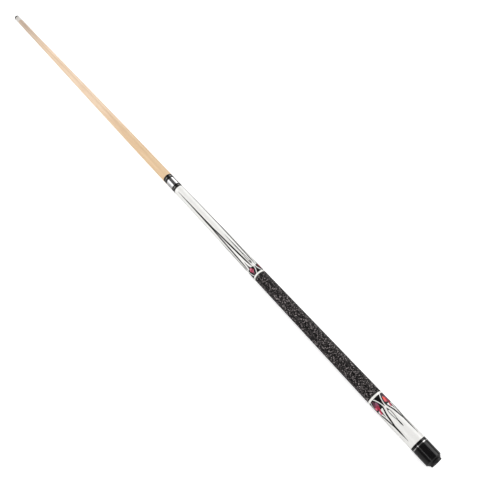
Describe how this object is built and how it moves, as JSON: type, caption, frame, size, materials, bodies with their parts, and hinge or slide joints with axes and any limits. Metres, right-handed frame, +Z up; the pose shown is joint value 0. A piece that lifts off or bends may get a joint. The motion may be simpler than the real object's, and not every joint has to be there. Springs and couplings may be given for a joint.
{
  "type": "pool cue",
  "caption": "Tapered billiard cue: a maple shaft with a leather tip unscrews from a linen-wrapped butt at a piloted steel screw joint; rubber bumper at the end.",
  "frame": {"origin": "centre of the joint face on the cue's axis, halfway between tip and bumper", "axes": "+X along the cue's axis towards the bumper, tip towards -X; +Z up with the cue lying level; +Y completes a right-handed frame"},
  "size_m": [1.4732, 0.03, 0.03],
  "materials": {
    "tip_leather": "matte, pressed black leather with a trace of chalk",
    "fibre": "matte black vulcanised fibre",
    "ferrule_white": "satin white",
    "maple": "fine straight-grained maple, satin",
    "collar_black": "gloss black",
    "trim_silver": "bright metal",
    "brass_insert": "machined",
    "joint_steel": "polished steel with faint turning lines",
    "pin_steel": "machined steel",
    "white_lacquer": "white gloss lacquer with inlay-style decoration",
    "ring_white": "gloss white",
    "core_wood": "plain turned hardwood",
    "linen": "pressed Irish linen, black with grey flecks",
    "cap_black": "gloss black",
    "bumper_rubber": "matte black rubber"
  },
  "bodies": {
    "butt": {"joint_collar": "joint_steel", "joint_pin": "pin_steel", "forearm_ring_front": "collar_black", "forearm_trim_ring": "trim_silver", "forearm_ring_rear": "collar_black", "forearm": "white_lacquer", "forearm_stud": "pin_steel", "wrap_ring_front": "ring_white", "handle_core": "core_wood", "linen_wrap": "linen", "wrap_ring_rear": "ring_white", "butt_sleeve": "white_lacquer", "cap_ring": "collar_black", "cap_trim_ring": "trim_silver", "butt_cap": "cap_black", "weight_bolt": "pin_steel", "bumper": "bumper_rubber", "bumper_washer": "pin_steel", "bumper_screw": "pin_steel"},
    "screw_follower": {"shaft_trim_ring": "trim_silver"},
    "shaft": {"tip": "tip_leather", "tip_pad": "fibre", "ferrule": "ferrule_white", "shaft_wood": "maple", "shaft_ring_front": "collar_black", "shaft_ring_rear": "collar_black", "shaft_insert": "brass_insert"}
  },
  "joints": [
    {"name": "shaft_advance", "type": "slide", "parent": "butt", "child": "screw_follower", "axis": [-1, 0, 0], "range_m": [0, 0.02822]},
    {"name": "shaft_turn", "type": "hinge", "parent": "screw_follower", "child": "shaft", "pos_m": [-0.006, 0, 0], "axis": [-1, 0, 0], "range_deg": [0, 7200]}
  ],
  "couplings": [
    {"joint": "shaft_turn", "follows": "shaft_advance", "rad_per_m": 4452.7}
  ]
}
